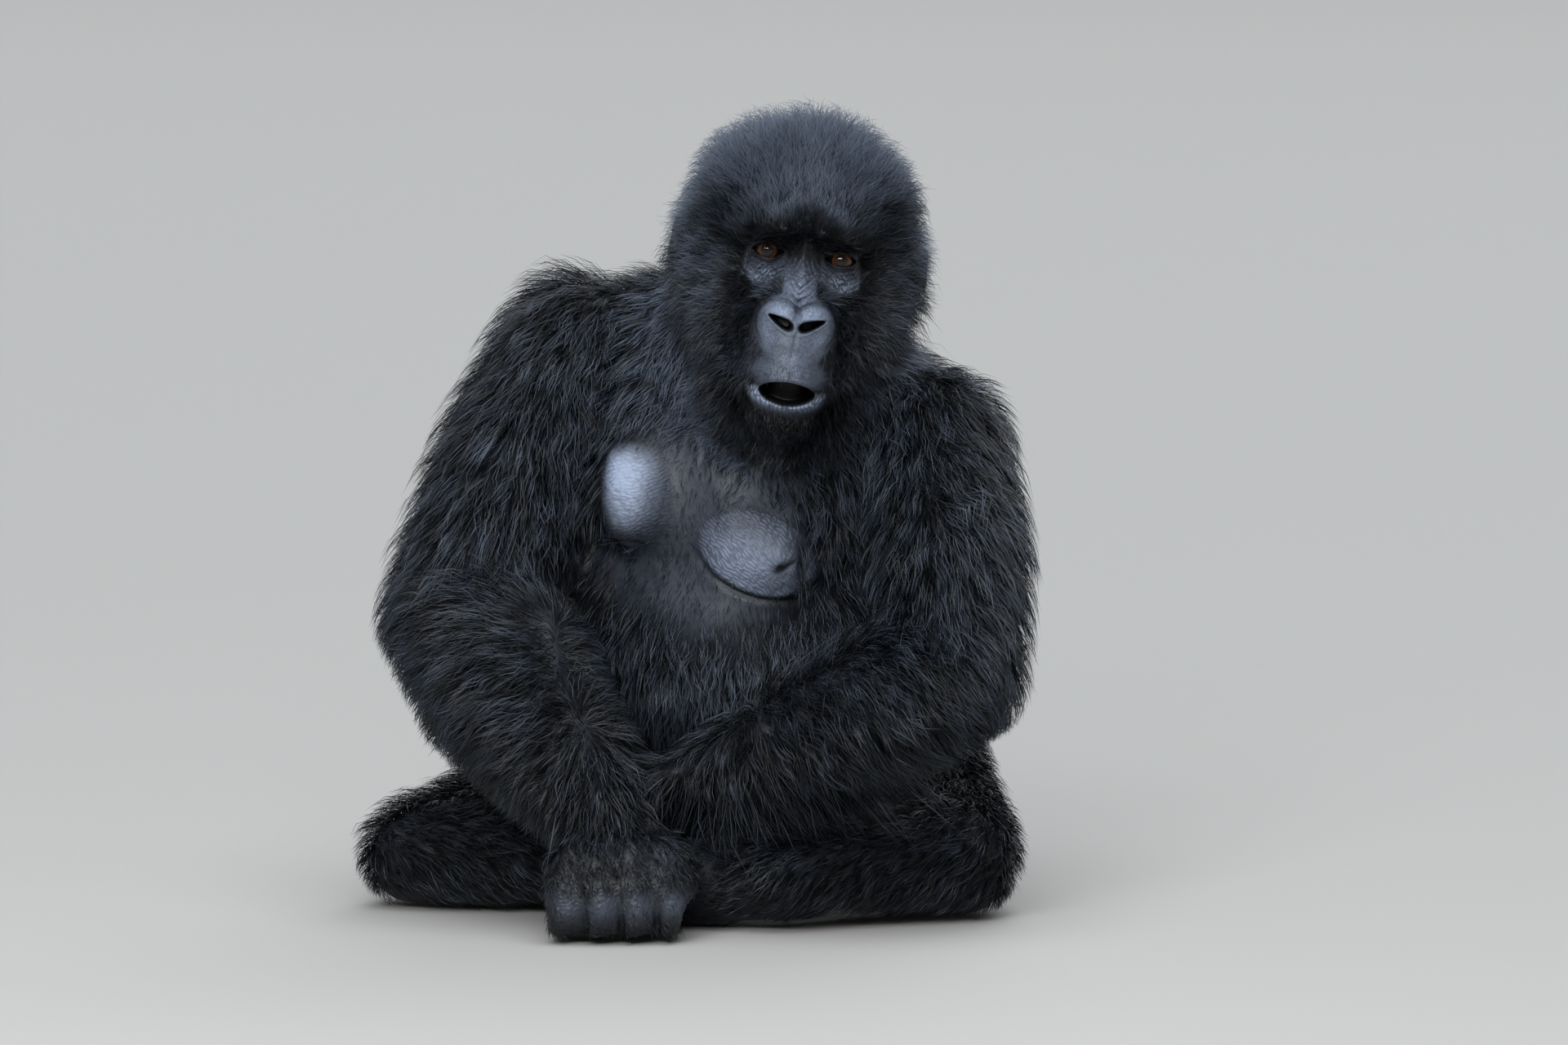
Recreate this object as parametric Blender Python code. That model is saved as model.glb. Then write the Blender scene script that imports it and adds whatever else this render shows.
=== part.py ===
"""A life-size mountain gorilla, adult female, seated on the floor with her legs folded.

Metres, +Z up. She looks along -Y, and her right side is at -X. The solids are the outline of the
coat, out to the tips of the hair: each limb, the trunk and the head is a chain of rounded masses
that is remeshed into one skin, thinned to a few facets and parted from its neighbours by a hair's
breadth. The seat, thighs, shins, feet and the right knuckles end in flats at floor level.
"""

import math

import bmesh
import bpy
from mathutils import Matrix, Vector

# ---- driving dimensions -------------------------------------------------------------------
EYE_HEIGHT = 0.678  # pupils above the floor
EYE_SPACING = 0.076  # between the pupils
EYEBALL = 0.0125  # radius
HEAD_ROLL = math.radians(8.0)  # the crown leans to her left
HEAD_SIDE = 0.021  # the face's midline from the frame's centre plane
TRUNK_TURN = math.radians(-24.0)  # chest and pelvis face her right
FINGER = 0.0165  # radius of a finger with its skin and short hair
FINGER_PITCH = 0.0360  # between neighbouring knuckles
TOE = 0.0125

SEAM = 0.0005  # gap between two neighbouring solids
FLOOR = 0.0

# ---- skeleton: joint centres, and the radius of limb and coat there ------------------------
SHOULDER = {"right": Vector((-0.215, 0.215, 0.570)), "left": Vector((0.160, 0.075, 0.487))}
ELBOW = {"right": Vector((-0.337, 0.072, 0.304)), "left": Vector((0.175, -0.112, 0.264))}
WRIST = {"right": Vector((-0.182, -0.128, 0.118)), "left": Vector((-0.062, -0.112, 0.172))}
HIP = {"right": Vector((-0.085, 0.270, 0.130)), "left": Vector((0.105, 0.215, 0.135))}
KNEE = {"right": Vector((-0.385, 0.050, 0.058)), "left": Vector((0.180, -0.030, 0.068))}
ANKLE = {"right": Vector((-0.150, -0.012, 0.058)), "left": Vector((-0.005, -0.122, 0.060))}

SHOULDER_R = {"right": 0.096, "left": 0.086}
UPPER_ARM_R = {"right": 0.106, "left": 0.095}
ELBOW_R = {"right": 0.092, "left": 0.082}
FOREARM_R = {"right": 0.106, "left": 0.084}
WRIST_R = {"right": 0.062, "left": 0.056}
HIP_R, THIGH_R, CALF_R, ANKLE_R = 0.112, 0.088, 0.062, 0.046
KNEE_R = {"right": 0.062, "left": 0.072}

COATS = {
    "fur": ((0.018, 0.018, 0.022), 0.75),
    "skin": ((0.040, 0.041, 0.048), 0.45),
    "eye": ((0.120, 0.050, 0.020), 0.15),
}


# ---- modelling tools ----------------------------------------------------------------------
def clear_scene():
    for old in list(bpy.data.objects):
        bpy.data.objects.remove(old)


def material(name):
    """One Principled material for each kind of surface."""
    found = bpy.data.materials.get(name)
    if found:
        return found
    colour, roughness = COATS[name]
    made = bpy.data.materials.new(name)
    made.use_nodes = True
    shader = made.node_tree.nodes["Principled BSDF"]
    shader.inputs["Base Color"].default_value = (*colour, 1.0)
    shader.inputs["Roughness"].default_value = roughness
    shader.inputs["Metallic"].default_value = 0.0
    return made


def linked(name, mesh):
    obj = bpy.data.objects.new(name, mesh)
    bpy.context.scene.collection.objects.link(obj)
    return obj


def settle(obj):
    """Applies the object's modifiers."""
    graph = bpy.context.evaluated_depsgraph_get()
    mesh = bpy.data.meshes.new_from_object(obj.evaluated_get(graph))
    obj.modifiers.clear()
    obj.data = mesh


def ball(shape, centre, radii, turn=None):
    """An ellipsoid. turn is a rotation matrix, or None."""
    if isinstance(radii, float):
        radii = (radii, radii, radii)
    place = Matrix.Translation(centre) @ (turn.to_4x4() if turn else Matrix.Identity(4))
    place = place @ Matrix.Diagonal((*radii, 1.0))
    bmesh.ops.create_icosphere(shape, subdivisions=3, radius=1.0, matrix=place)


def chain(shape, *stations):
    """A limb: each pair of neighbouring (centre, radius) stations is spanned by a tapered capsule."""
    for (a, ra), (b, rb) in zip(stations, stations[1:]):
        part = bmesh.new()
        ball(part, a, ra)
        ball(part, b, rb)
        hull = bmesh.ops.convex_hull(part, input=part.verts)
        inner = {v for v in hull["geom_interior"] if isinstance(v, bmesh.types.BMVert)}
        bmesh.ops.delete(part, geom=list(inner), context="VERTS")
        mesh = bpy.data.meshes.new("capsule")
        part.to_mesh(mesh)
        part.free()
        shape.from_mesh(mesh)
        bpy.data.meshes.remove(mesh)


def body(name, shape, grain, soften, facets, finish="fur"):
    """Fuses the masses in shape into one closed skin with about that many facets."""
    mesh = bpy.data.meshes.new(name)
    shape.to_mesh(mesh)
    shape.free()
    obj = linked(name, mesh)
    fuse = obj.modifiers.new("fuse", "REMESH")
    fuse.mode = "VOXEL"
    fuse.voxel_size = grain
    smooth = obj.modifiers.new("soften", "SMOOTH")
    smooth.factor = 0.5
    smooth.iterations = soften
    settle(obj)
    thin(obj, facets)
    obj.data.materials.clear()
    obj.data.materials.append(material(finish))
    return obj


def thin(obj, facets, fine=None):
    """Lowers the number of facets, and keeps more of them inside the ball fine: (centre, radius)."""
    faces = sum(len(p.vertices) - 2 for p in obj.data.polygons)
    if faces <= facets:
        return
    fewer = obj.modifiers.new("fewer", "DECIMATE")
    fewer.ratio = facets / faces
    fewer.use_collapse_triangulate = True
    if fine:
        centre, radius = fine
        group = obj.vertex_groups.new(name="coarse")
        for vertex in obj.data.vertices:
            away = max(0.0, (vertex.co - centre).length / radius - 0.6)
            group.add([vertex.index], min(1.0, 0.35 + 1.2 * away), "REPLACE")
        fewer.vertex_group = group.name
        fewer.vertex_group_factor = 1.0
    settle(obj)
    obj.vertex_groups.clear()


def biggest_body(obj):
    """Drops the crumbs that a cut leaves beside the main body."""
    shape = bmesh.new()
    shape.from_mesh(obj.data)
    bmesh.ops.remove_doubles(shape, verts=shape.verts, dist=2e-5)
    todo, groups = set(shape.verts), []
    while todo:
        seed = todo.pop()
        group, edge = {seed}, [seed]
        while edge:
            near = edge.pop()
            for link in near.link_edges:
                other = link.other_vert(near)
                if other in todo:
                    todo.discard(other)
                    group.add(other)
                    edge.append(other)
        groups.append(group)
    groups.sort(key=len, reverse=True)
    crumbs = [v for group in groups[1:] for v in group]
    bmesh.ops.delete(shape, geom=crumbs, context="VERTS")
    bmesh.ops.triangulate(shape, faces=shape.faces)
    bmesh.ops.recalc_face_normals(shape, faces=shape.faces)
    shape.to_mesh(obj.data)
    shape.free()


def swollen(obj, by):
    """A hidden copy whose surface stands out by that much, to cut its neighbours with."""
    mesh = obj.data.copy()
    normals = [v.normal.copy() for v in mesh.vertices]
    for vertex, normal in zip(mesh.vertices, normals):
        vertex.co += normal * by
    return linked("cutter", mesh)


def extent(*pieces):
    """The lowest and highest corner of the pieces' common box."""
    spots = [v.co for obj in pieces for v in obj.data.vertices]
    low = Vector([min(p[axis] for p in spots) for axis in range(3)])
    high = Vector([max(p[axis] for p in spots) for axis in range(3)])
    return low, high


def boxes_meet(a, b):
    (low_a, high_a), (low_b, high_b) = extent(a), extent(b)
    return all(low_a[k] < high_b[k] and low_b[k] < high_a[k] for k in range(3))


def make_room(obj, *neighbours):
    """Cuts the neighbours out of obj, and leaves the seam's gap."""
    cutters = [swollen(n, SEAM) for n in neighbours]
    for cutter in cutters:
        cut = obj.modifiers.new("cut", "BOOLEAN")
        cut.operation = "DIFFERENCE"
        cut.solver = "EXACT"
        cut.object = cutter
    settle(obj)
    for cutter in cutters:
        bpy.data.objects.remove(cutter)
    biggest_body(obj)


def hollow(obj, shape):
    """Cuts a hollow, given as masses, out of obj."""
    mesh = bpy.data.meshes.new("hollow")
    shape.to_mesh(mesh)
    shape.free()
    cutter = linked("hollow", mesh)
    cut = obj.modifiers.new("hollow", "BOOLEAN")
    cut.operation = "DIFFERENCE"
    cut.solver = "EXACT"
    cut.object = cutter
    settle(obj)
    bpy.data.objects.remove(cutter)
    biggest_body(obj)


def keep_side(obj, point, normal):
    """Keeps what lies behind the plane and closes the cut with a flat."""
    shape = bmesh.new()
    shape.from_mesh(obj.data)
    everything = shape.verts[:] + shape.edges[:] + shape.faces[:]
    bmesh.ops.bisect_plane(
        shape, geom=everything, dist=1e-5, plane_co=point, plane_no=normal, clear_outer=True
    )
    rim = [e for e in shape.edges if e.is_boundary]
    bmesh.ops.holes_fill(shape, edges=rim, sides=0)
    bmesh.ops.triangulate(shape, faces=shape.faces)
    shape.to_mesh(obj.data)
    shape.free()
    biggest_body(obj)


def part_at(obj, point, normal, beyond):
    """Parts obj at a plane. What lies ahead of it becomes a new object with that name."""
    normal = Vector(normal).normalized()
    other = linked(beyond, obj.data.copy())
    keep_side(obj, Vector(point) - normal * (SEAM / 2), normal)
    keep_side(other, Vector(point) + normal * (SEAM / 2), -normal)
    return other


def between(a, b, share):
    return a.lerp(b, share)


# ---- head ---------------------------------------------------------------------------------
HEAD = Matrix.Translation((HEAD_SIDE, 0.0, EYE_HEIGHT)) @ Matrix.Rotation(HEAD_ROLL, 4, "Y")


def face(x, y, z):
    """A point of the head, given in millimetres from between the eyes: her left, back and up."""
    return HEAD @ Vector((x / 1000.0, y / 1000.0, z / 1000.0))


def face_ball(shape, x, y, z, across, deep, tall, tilt=0.0):
    turn = Matrix.Rotation(HEAD_ROLL + math.radians(tilt), 3, "Y")
    ball(shape, face(x, y, z), (across / 1000.0, deep / 1000.0, tall / 1000.0), turn)


def build_head():
    shape = bmesh.new()
    # coat over skull, temples, cheeks and throat
    face_ball(shape, -6, 104, 36, 129, 124, 113)
    face_ball(shape, -4, 100, -42, 141, 104, 106)
    face_ball(shape, -4, 104, -2, 136, 100, 100)
    face_ball(shape, -3, 66, -138, 98, 80, 101)
    for side in (-1, 1):
        face_ball(shape, side * 68, 56, -80, 52, 50, 66)
    # brow, cheekbones and the bare part of the face
    chain(shape, (face(-50, 8, 15), 0.015), (face(-20, -8, 23), 0.016), (face(0, -8, 22), 0.014))
    chain(shape, (face(50, 8, 15), 0.015), (face(20, -8, 23), 0.016), (face(0, -8, 22), 0.014))
    for side in (-1, 1):
        face_ball(shape, side * 42, 16, -34, 26, 26, 22)
        chain(shape, (face(side * 13, 4, -10), 0.011), (face(side * 24, -12, -52), 0.017))
    chain(shape, (face(0, 2, 4), 0.011), (face(0, -18, -34), 0.014), (face(0, -30, -58), 0.016))
    # nose pads, muzzle, lips and chin
    for side in (-1, 1):
        face_ball(shape, side * 19, -34, -74, 23, 24, 24, side * 12)
    face_ball(shape, 0, -14, -100, 47, 44, 40)
    face_ball(shape, 0, -24, -116, 42, 30, 22)
    face_ball(shape, 2, -20, -148, 40, 30, 15)
    face_ball(shape, 2, -4, -160, 38, 36, 22)
    head = body("head", shape, 0.0042, 3, 90000)
    orbits = bmesh.new()
    for side in (-1, 1):
        face_ball(orbits, side * 38, -24, -6, 27, 30, 16, side * 10)
    hollow(head, orbits)

    nostrils = bmesh.new()
    for side in (-1, 1):
        face_ball(nostrils, side * 14, -58, -70, 10.5, 20, 5.5, -side * 28)
    hollow(head, nostrils)
    mouth = bmesh.new()
    face_ball(mouth, 3, -50, -142, 31, 48, 9.5)
    hollow(head, mouth)
    lids = bmesh.new()
    for side in (-1, 1):
        face_ball(lids, side * EYE_SPACING * 500, -12, -1, 15.5, 30, 8.0)
    hollow(head, lids)
    beds = bmesh.new()
    for side in (-1, 1):
        face_ball(beds, side * 138 - 4, 110, -10, 20, 26, 28)
    hollow(head, beds)
    thin(head, 2300, (face(0, -10, -65), 0.115))
    return head


def build_eyes():
    made = []
    for side, name in ((-1, "eye_right"), (1, "eye_left")):
        mesh = bpy.data.meshes.new(name)
        shape = bmesh.new()
        ball(shape, face(side * EYE_SPACING * 500, 14, -1), EYEBALL)
        shape.to_mesh(mesh)
        shape.free()
        eye = linked(name, mesh)
        eye.data.materials.append(material("eye"))
        thin(eye, 110)
        made.append(eye)
    return made


def build_ears():
    """Small ears, low on the sides of the head in a bed of short hair."""
    made = []
    for side, name in ((-1, "ear_right"), (1, "ear_left")):
        shape = bmesh.new()
        out = side * 126 - 4
        rim = []
        for share in (0.0, 0.25, 0.5, 0.75, 1.0):
            around = math.radians(-70 + 230 * share)
            back = 108 + 13 * math.sin(around)
            up = -10 + 18 * math.cos(around)
            rim.append((face(out + side * 4 * share, back, up), 0.0052))
        chain(shape, *rim)
        face_ball(shape, out - side * 3, 108, -12, 7, 13, 17)
        made.append(body(name, shape, 0.0022, 2, 120, "skin"))
    return made


# ---- trunk --------------------------------------------------------------------------------
def build_trunk():
    turned = Matrix.Rotation(TRUNK_TURN, 3, "Z")
    shape = bmesh.new()
    ball(shape, Vector((0.012, 0.262, 0.142)), (0.172, 0.150, 0.165), turned)
    ball(shape, Vector((-0.042, 0.160, 0.255)), (0.198, 0.165, 0.170), turned)
    ball(shape, Vector((-0.038, 0.176, 0.410)), (0.188, 0.158, 0.165), turned)
    chain(
        shape,
        (Vector((0.014, 0.246, 0.145)), 0.146),
        (Vector((0.002, 0.264, 0.290)), 0.152),
        (Vector((-0.012, 0.260, 0.430)), 0.160),
        (Vector((-0.022, 0.212, 0.550)), 0.130),
    )
    for side in (-1, 1):
        lean = 0.084 * side
        ball(shape, Vector((-0.012 + lean, 0.246 - 0.4 * lean, 0.430)), (0.112, 0.126, 0.160))
        ball(shape, Vector((0.002 + lean, 0.244 - 0.4 * lean, 0.270)), (0.108, 0.130, 0.150))
    chain(shape, (Vector((-0.130, 0.255, 0.500)), 0.104), (Vector((-0.110, 0.270, 0.420)), 0.110))
    chain(shape, (Vector((0.086, 0.165, 0.490)), 0.100), (Vector((0.092, 0.190, 0.400)), 0.110))
    chain(
        shape,
        (SHOULDER["right"] + Vector((0.020, 0.020, -0.005)), 0.082),
        (Vector((-0.030, 0.205, 0.570)), 0.100),
        (SHOULDER["left"] + Vector((-0.020, 0.020, 0.005)), 0.082),
    )
    chain(shape, (Vector((-0.020, 0.190, 0.560)), 0.118), (Vector((0.022, 0.148, 0.668)), 0.120))
    # the breasts hang from the upper chest, fuller below
    ball(shape, Vector((-0.140, 0.200, 0.300)), (0.098, 0.130, 0.140), turned)
    chain(shape, (Vector((-0.066, 0.080, 0.448)), 0.046), (Vector((-0.036, 0.044, 0.372)), 0.052))
    droop = turned @ Matrix.Rotation(math.radians(22.0), 3, "Y")
    ball(shape, Vector((-0.026, 0.028, 0.366)), (0.066, 0.038, 0.044), droop)
    chain(
        shape,
        (Vector((-0.122, 0.160, 0.556)), 0.060),
        (Vector((-0.148, 0.104, 0.490)), 0.044),
        (Vector((-0.156, 0.080, 0.418)), 0.050),
    )
    ball(shape, Vector((-0.160, 0.060, 0.410)), (0.046, 0.036, 0.048), turned)
    return body("trunk", shape, 0.008, 14, 1060)


# ---- arms ---------------------------------------------------------------------------------
def build_arm(side):
    """Shoulder to wrist in one skin, still without its hand."""
    shoulder, elbow, wrist = SHOULDER[side], ELBOW[side], WRIST[side]
    shape = bmesh.new()
    chain(
        shape,
        (shoulder, SHOULDER_R[side]),
        (between(shoulder, elbow, 0.5), UPPER_ARM_R[side]),
        (elbow, ELBOW_R[side]),
    )
    chain(
        shape,
        (elbow, ELBOW_R[side]),
        (between(elbow, wrist, 0.34), FOREARM_R[side]),
        (between(elbow, wrist, 0.75), 0.5 * (FOREARM_R[side] + WRIST_R[side])),
        (wrist, WRIST_R[side]),
    )
    return body("upper_arm_" + side, shape, 0.008, 6, 500)


def build_right_hand():
    """Closed hand on its knuckles: the back of the hand faces forward, fingers folded under."""
    wrist = WRIST["right"]
    middle = Vector((-0.170, 0.0, 0.0))
    shape = bmesh.new()
    for finger in range(4):
        across = (finger - 1.5) * FINGER_PITCH
        reach = (0.006, 0.0, 0.001, 0.008)[finger]
        root = Vector((middle.x + 0.98 * across, -0.205 + reach, 0.054))
        knuckle = Vector((middle.x + across, -0.212 + reach, FINGER + 0.002))
        tip = Vector((middle.x + across, -0.166 + reach, FINGER - 0.002))
        chain(
            shape,
            (between(wrist, root, 0.10), 0.040),
            (between(wrist, root, 0.62), 0.030),
            (root, 0.0225),
        )
        chain(shape, (root, 0.0215), (knuckle, FINGER + 0.001), (tip, FINGER))
        chain(shape, (tip, FINGER), (tip + Vector((0.0, 0.012, 0.028)), FINGER - 0.001))
    heel_of_hand = Vector((middle.x, -0.176, 0.048))
    span = Vector((1.2 * FINGER_PITCH, 0.0, 0.0))
    chain(shape, (heel_of_hand - span, 0.022), (heel_of_hand + span, 0.022))
    chain(
        shape,
        (wrist + Vector((0.038, -0.012, -0.012)), 0.024),
        (Vector((-0.108, -0.170, 0.082)), 0.0195),
        (Vector((-0.094, -0.186, 0.050)), 0.0145),
    )
    return body("hand_right", shape, 0.0052, 2, 520, "skin")


def build_left_hand():
    """Open hand laid over the right shin, palm down, hidden behind the right forearm."""
    wrist = WRIST["left"]
    along = Vector((-0.78, 0.52, -0.34)).normalized()
    across = along.cross(Vector((0.0, 0.0, 1.0))).normalized()
    palm = wrist + along * 0.062
    shape = bmesh.new()
    for finger in range(4):
        aside = across * ((finger - 1.5) * 0.026)
        root = palm + along * 0.018 + aside
        bend = root + along * 0.040
        tip = bend + along * 0.022 + Vector((0.0, 0.0, -0.028))
        chain(shape, (between(wrist, root, 0.1), 0.036), (root, 0.021))
        chain(shape, (root, 0.016), (bend, 0.0145), (tip, 0.013))
    chain(shape, (wrist + across * -0.02, 0.022), (palm + across * -0.052, 0.0135))
    return body("hand_left", shape, 0.0052, 2, 300, "skin")


# ---- legs ---------------------------------------------------------------------------------
def build_leg(side):
    """Hip to ankle in one skin, still without its foot."""
    hip, knee, ankle = HIP[side], KNEE[side], ANKLE[side]
    shape = bmesh.new()
    chain(shape, (hip, HIP_R), (between(hip, knee, 0.5), THIGH_R), (knee, KNEE_R[side]))
    chain(shape, (knee, KNEE_R[side]), (between(knee, ankle, 0.35), CALF_R), (ankle, ANKLE_R))
    return body("thigh_" + side, shape, 0.008, 6, 470)


def build_foot(side, heel, toward, sole_up):
    """A foot lying on its outer edge: heel, arch, ball, four toes and the big toe set apart."""
    along = Vector(toward).normalized()
    up = Vector(sole_up).normalized()
    up = (up - along * up.dot(along)).normalized()
    across = along.cross(up)
    heel = Vector(heel)
    ball_of_foot = heel + along * 0.145
    shape = bmesh.new()
    chain(shape, (ANKLE[side], 0.040), (heel, 0.034), (heel + along * 0.070, 0.030))
    for toe in range(4):
        aside = across * ((toe - 1.5) * 0.0215)
        root = ball_of_foot + aside
        chain(shape, (heel + along * 0.060 + aside * 0.5, 0.027), (root, 0.0175))
        length = (0.050, 0.054, 0.050, 0.042)[toe]
        chain(shape, (root, TOE + 0.002), (root + along * length, TOE))
    big = heel + along * 0.080 + across * -0.034
    chain(shape, (big, 0.020), (big + along * 0.062 - across * 0.022, 0.0145))
    return body("foot_" + side, shape, 0.0052, 2, 420, "skin")


# ---- the whole animal ---------------------------------------------------------------------
def centre_on_floor(pieces):
    """Moves everything so that the origin is the bottom centre of the whole."""
    low, high = extent(*pieces)
    middle = Vector(((low.x + high.x) / 2, (low.y + high.y) / 2, low.z))
    for obj in pieces:
        obj.data.transform(Matrix.Translation(-middle))
    return middle


def build():
    clear_scene()
    head = build_head()
    eyes = build_eyes()
    ears = build_ears()
    trunk = build_trunk()
    arm = {side: build_arm(side) for side in ("right", "left")}
    leg = {side: build_leg(side) for side in ("right", "left")}
    hand = {"right": build_right_hand(), "left": build_left_hand()}
    foot = {
        "right": build_foot("right", (-0.168, -0.008, 0.040), (1.0, -0.02, -0.02), (0, -0.6, 0.8)),
        "left": build_foot("left", (0.000, -0.108, 0.038), (-1.0, 0.05, 0.0), (0, 0.85, 0.5)),
    }

    # where two masses overlap, the finer one gives way to the broader ones before it
    order = [head, trunk, leg["right"], leg["left"], arm["right"], arm["left"]]
    order += [foot["right"], foot["left"], hand["right"], hand["left"], *eyes, *ears]
    for place, small in enumerate(order):
        broader = [other for other in order[:place] if boxes_meet(small, other)]
        if broader:
            make_room(small, *broader)

    # limbs part at their joints, and the neck leaves the trunk
    for side in ("right", "left"):
        bend = (ELBOW[side] - SHOULDER[side]).normalized() + (WRIST[side] - ELBOW[side]).normalized()
        part_at(arm[side], ELBOW[side], bend, "forearm_" + side)
        bend = (KNEE[side] - HIP[side]).normalized() + (ANKLE[side] - KNEE[side]).normalized()
        part_at(leg[side], KNEE[side], bend, "shin_" + side)
    part_at(trunk, (0.0, 0.165, 0.612), (0.20, -0.35, 0.92), "neck")

    pieces = list(bpy.context.scene.objects)
    for obj in pieces:
        if extent(obj)[0].z < FLOOR:
            keep_side(obj, Vector((0, 0, FLOOR)), Vector((0, 0, -1)))
    return -centre_on_floor(pieces)


PLACED = build()
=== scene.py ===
"""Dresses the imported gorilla: one sculpted skin under the coat, the eyes, and the fur itself.

The frame gives every place. The two eye nodes set the head's own axes, in which the face is shaped
as a relief, and the nodes' meshes say which part of the body a point of the skin belongs to.
"""

import math
from types import SimpleNamespace

import bmesh
import bpy
import numpy as np
from mathutils import Matrix, Vector
from mathutils.bvhtree import BVHTree
from mathutils.kdtree import KDTree


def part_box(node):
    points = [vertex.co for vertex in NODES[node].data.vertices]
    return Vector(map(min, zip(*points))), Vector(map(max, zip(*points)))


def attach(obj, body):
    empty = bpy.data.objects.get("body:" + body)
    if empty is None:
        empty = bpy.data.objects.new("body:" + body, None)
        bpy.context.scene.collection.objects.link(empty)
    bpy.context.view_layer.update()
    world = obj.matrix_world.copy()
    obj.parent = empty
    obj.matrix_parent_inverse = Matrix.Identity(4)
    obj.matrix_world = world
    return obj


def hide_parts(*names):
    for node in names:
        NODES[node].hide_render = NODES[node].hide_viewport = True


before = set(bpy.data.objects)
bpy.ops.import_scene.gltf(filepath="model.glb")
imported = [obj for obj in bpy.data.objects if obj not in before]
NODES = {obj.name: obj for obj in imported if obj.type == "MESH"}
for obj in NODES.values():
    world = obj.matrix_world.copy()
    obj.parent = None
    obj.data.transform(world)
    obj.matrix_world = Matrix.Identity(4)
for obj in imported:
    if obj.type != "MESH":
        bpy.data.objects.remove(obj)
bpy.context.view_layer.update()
EYES = ("eye_right", "eye_left")
EARS = ("ear_right", "ear_left")
FLESH = [name for name in sorted(NODES) if name not in EYES + EARS]
rng = np.random.default_rng(7)  # one seed, so that every run grows the same coat

# ---- driving dimensions, metres unless they say mm ----
OUTLINE_GRAIN = 0.0055  # size of the quads of the coat's outline
SKIN_GRAIN = 0.0045  # and of the skin's, away from face, breasts and right hand
EYEBALL = 0.0125
EYE_DEPTH = 14.0  # mm from the face's front plane to an eyeball's centre
EYE_DROP = 1.5  # mm the lids and balls sit below the frame's eye plugs' middle
CHEST_TURN = 24  # degrees that the chest faces to her right
LEFT_BREAST = (-48, -307, 71, 45, -21)  # bare oval: middle and half sizes in mm, degrees of tilt
RIGHT_BREAST = (-173, -247, 38, 52, 4)
FINGERS = (-54, -18, 18, 54)  # mm from the right hand's middle
COAT = {  # mm of coat over the skin
    "head": 30, "neck": 30, "trunk": 24, "upper": 34, "forearm": 30,
    "thigh": 24, "shin": 20, "hand": 4, "foot": 3,
}

STRANDS = 285000
PIECE_LIMIT = 39000  # hairs in one coat piece
LOCK = 10  # hairs in a lock, on average
STATIONS = 4  # points along a hair, from root to tip
STRAND_WIDTH = 0.00092  # of the longer hairs, where they are widest
TAPER = np.array((0.8, 1.0, 0.72, 0.0))  # share of the width, from root to tip
ROOT_SHADE_TIP_HIGHLIGHT = (0.03, 0.28, 1.0, 1.8)  # factor on the paleness, from root to tip: painted shade near the roots, painted highlight at the tips
BEND = np.array((0.12, 0.5, 1.0))  # share of the tip's push, at the stations after the root
ROOT_DEPTH = 0.0008
LOWEST_HAIR = 0.0006  # above the floor
MAP_PATCH = 0.0015  # half the side of a hair's patch on the map
PALENESS = "paleness"  # painted on skin and hair, for their colours with painted light and shade
MAP = "OFBake"

# each piece of the coat, with the nodes that it covers
COAT_PIECES = {"coat_" + name: [name] for name in ("head", "neck", "trunk")}
LIMBS = {"upper_arm": ("upper_arm",), "forearm": ("forearm", "hand"), "leg": ("thigh", "shin", "foot")}
for limb, members in LIMBS.items():
    for side in ("right", "left"):
        COAT_PIECES[f"coat_{limb}_{side}"] = [f"{member}_{side}" for member in members]


# ---- places: the head's own axes run in mm from between the eyes, x to her left, y back, z up ----
def middle_of(name):
    low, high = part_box(name)
    return (Vector(low) + Vector(high)) / 2


RIGHT_EYE, LEFT_EYE = (middle_of(name) for name in EYES)
FACE = (RIGHT_EYE + LEFT_EYE) / 2
FACE.y = min(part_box(name)[0][1] for name in EYES) - (EYE_DEPTH / 1000 - EYEBALL)
ROLL = math.atan2(RIGHT_EYE.z - LEFT_EYE.z, LEFT_EYE.x - RIGHT_EYE.x)
EYE_X = (LEFT_EYE - RIGHT_EYE).length * 500
TURN = np.array(Matrix.Rotation(ROLL, 3, "Y"))
CHEST_WAY = math.radians(CHEST_TURN)
FRONT = np.array((-math.sin(CHEST_WAY), -math.cos(CHEST_WAY), 0.0))  # where the chest faces


def to_face(points):
    """From the frame's metres to the head's own axes."""
    return (points - np.array(FACE)) @ TURN * 1000


def from_face(local):
    return local / 1000 @ TURN.T + np.array(FACE)


def chest_place(points):
    """mm across and up from between the eyes, without the head's tilt."""
    flat = (points - np.array(FACE)) * 1000
    return flat[:, 0], flat[:, 2]


def hand_place(points):
    """mm across from the right hand's middle and up from the floor."""
    low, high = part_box("hand_right")
    return points[:, 0] * 1000 - (low[0] + high[0]) * 500, points[:, 2] * 1000


def from_ears(points):
    """Metres from the middle of each ear."""
    return [np.linalg.norm(points - np.mean(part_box(name), axis=0), axis=1) for name in EARS]


def on_nodes(owner, *starts):
    """Whether a point belongs to a node whose name starts with one of these."""
    return np.isin(owner, [k for k, name in enumerate(FLESH) if name.startswith(starts)])


# ---- shapes as formulas ----
def step(value, start, end):
    """Smooth rise from 0 at start to 1 at end."""
    t = np.clip((value - start) / (end - start), 0, 1)
    return t * t * (3 - 2 * t)


def turned(x, z, cx, cz, tilt):
    """A place measured from a middle along axes that are tilted by some degrees."""
    cos, sin = math.cos(math.radians(tilt)), math.sin(math.radians(tilt))
    return (x - cx) * cos + (z - cz) * sin, -(x - cx) * sin + (z - cz) * cos


def bump(x, z, cx, cz, rx, rz, tilt=0.0):
    """A soft oval hill of height 1."""
    u, v = turned(x, z, cx, cz, tilt)
    return np.exp(-((u / rx) ** 2) - (v / rz) ** 2)


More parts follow.
